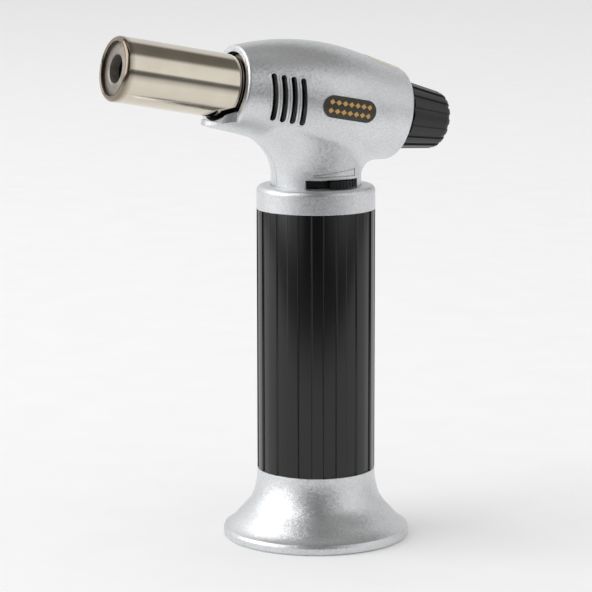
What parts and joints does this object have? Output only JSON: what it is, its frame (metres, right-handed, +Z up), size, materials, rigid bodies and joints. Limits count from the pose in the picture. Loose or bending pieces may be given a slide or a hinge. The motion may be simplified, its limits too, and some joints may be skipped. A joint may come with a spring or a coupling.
{
  "type": "butane torch",
  "caption": "Hand-held butane torch: flared stand foot, ribbed fuel grip, tilted burner head with lever, push-button knob and polished flame tube.",
  "frame": {"origin": "centre of the underside of the foot, where the torch stands", "axes": "+Z up along the handle; the burner points to -X and 10.4 degrees upwards; the lever and the badge are on the -Y side"},
  "size_m": [0.1165, 0.059, 0.1607],
  "materials": {
    "cast_silver": "satin silver lacquer over a zinc casting",
    "steel": "bright zinc-plated steel",
    "grip_black": "satin-gloss black moulding",
    "tank_aluminium": "plain drawn aluminium",
    "rubber": "matt nitrile rubber",
    "brass": "turned brass",
    "clear_tube": "milky nylon tube",
    "lever_black": "glossy black moulding",
    "badge_black": "black plate with a gold ornament",
    "label_gold": "printed gold foil",
    "knob_black": "fine-grained black moulding",
    "piezo_plastic": "grey moulded acetal",
    "lead_rubber": "silicone-covered wire",
    "ceramic": null,
    "burner_stainless": "polished stainless, straw-tinted by heat",
    "holder_steel": "grey heat-dulled steel"
  },
  "bodies": {
    "handle": {"foot_shell": "cast_silver", "collar_ring": "cast_silver", "head_shell_left": "cast_silver", "head_shell_right": "cast_silver", "foot_screws": "steel", "shell_screws": "steel", "grip_sleeve": "grip_black", "fuel_tank": "tank_aluminium", "tank_cap": "tank_aluminium", "tank_cap_seal": "rubber", "refill_valve_body": "brass", "refill_seal": "rubber", "refill_spring": "steel", "pickup_tube": "clear_tube", "fuel_filter": "brass", "tank_valve_body": "brass", "tank_valve_seal": "rubber", "side_badge": "badge_black", "top_label": "label_gold", "feed_tube": "brass", "valve_block": "brass", "gland_nut": "brass", "spindle_seal": "rubber", "knob_spring": "steel", "piezo_case": "piezo_plastic", "piezo_spring": "steel", "ignition_lead": "lead_rubber", "electrode_insulator": "ceramic", "electrode_wire": "steel", "jet_holder": "brass", "gas_jet": "brass", "mixing_tube": "brass", "wire_screen": "steel", "burner_mount": "steel", "burner_tube": "burner_stainless", "flame_holder": "holder_steel"},
    "lever": {"flame_ring": "lever_black"},
    "spindle": {"valve_spindle": "steel", "spindle_clip": "steel"},
    "knob": {"control_knob": "knob_black", "knob_cap": "knob_black"},
    "plunger": {"piezo_plunger": "piezo_plastic"},
    "refill": {"refill_stem": "brass"}
  },
  "joints": [
    {"name": "gas_turn", "type": "hinge", "parent": "handle", "child": "spindle", "pos_m": [0, 0, 0.1384], "axis": [0.9836, 0, -0.1805], "range_deg": [0, 270]},
    {"name": "igniter_push", "type": "slide", "parent": "spindle", "child": "knob", "axis": [-0.9836, 0, 0.1805], "range_m": [0, 0.0045], "stiffness_N_per_m": 1500, "springref_m": -0.002, "deforming": ["knob_spring"]},
    {"name": "piezo_plunger_slide", "type": "slide", "parent": "handle", "child": "plunger", "axis": [-0.9836, 0, 0.1805], "range_m": [0, 0.0045], "deforming": ["piezo_spring"]},
    {"name": "flame_lever", "type": "hinge", "parent": "handle", "child": "lever", "pos_m": [0, 0, 0.1137], "axis": [0, 0, 1], "range_deg": [-28, 15]},
    {"name": "refill_push", "type": "slide", "parent": "handle", "child": "refill", "axis": [0, 0, 1], "range_m": [0, 0.002], "stiffness_N_per_m": 800, "springref_m": -0.001, "deforming": ["refill_spring"]}
  ],
  "couplings": [
    {"joint": "piezo_plunger_slide", "follows": "igniter_push", "ratio": 1}
  ]
}
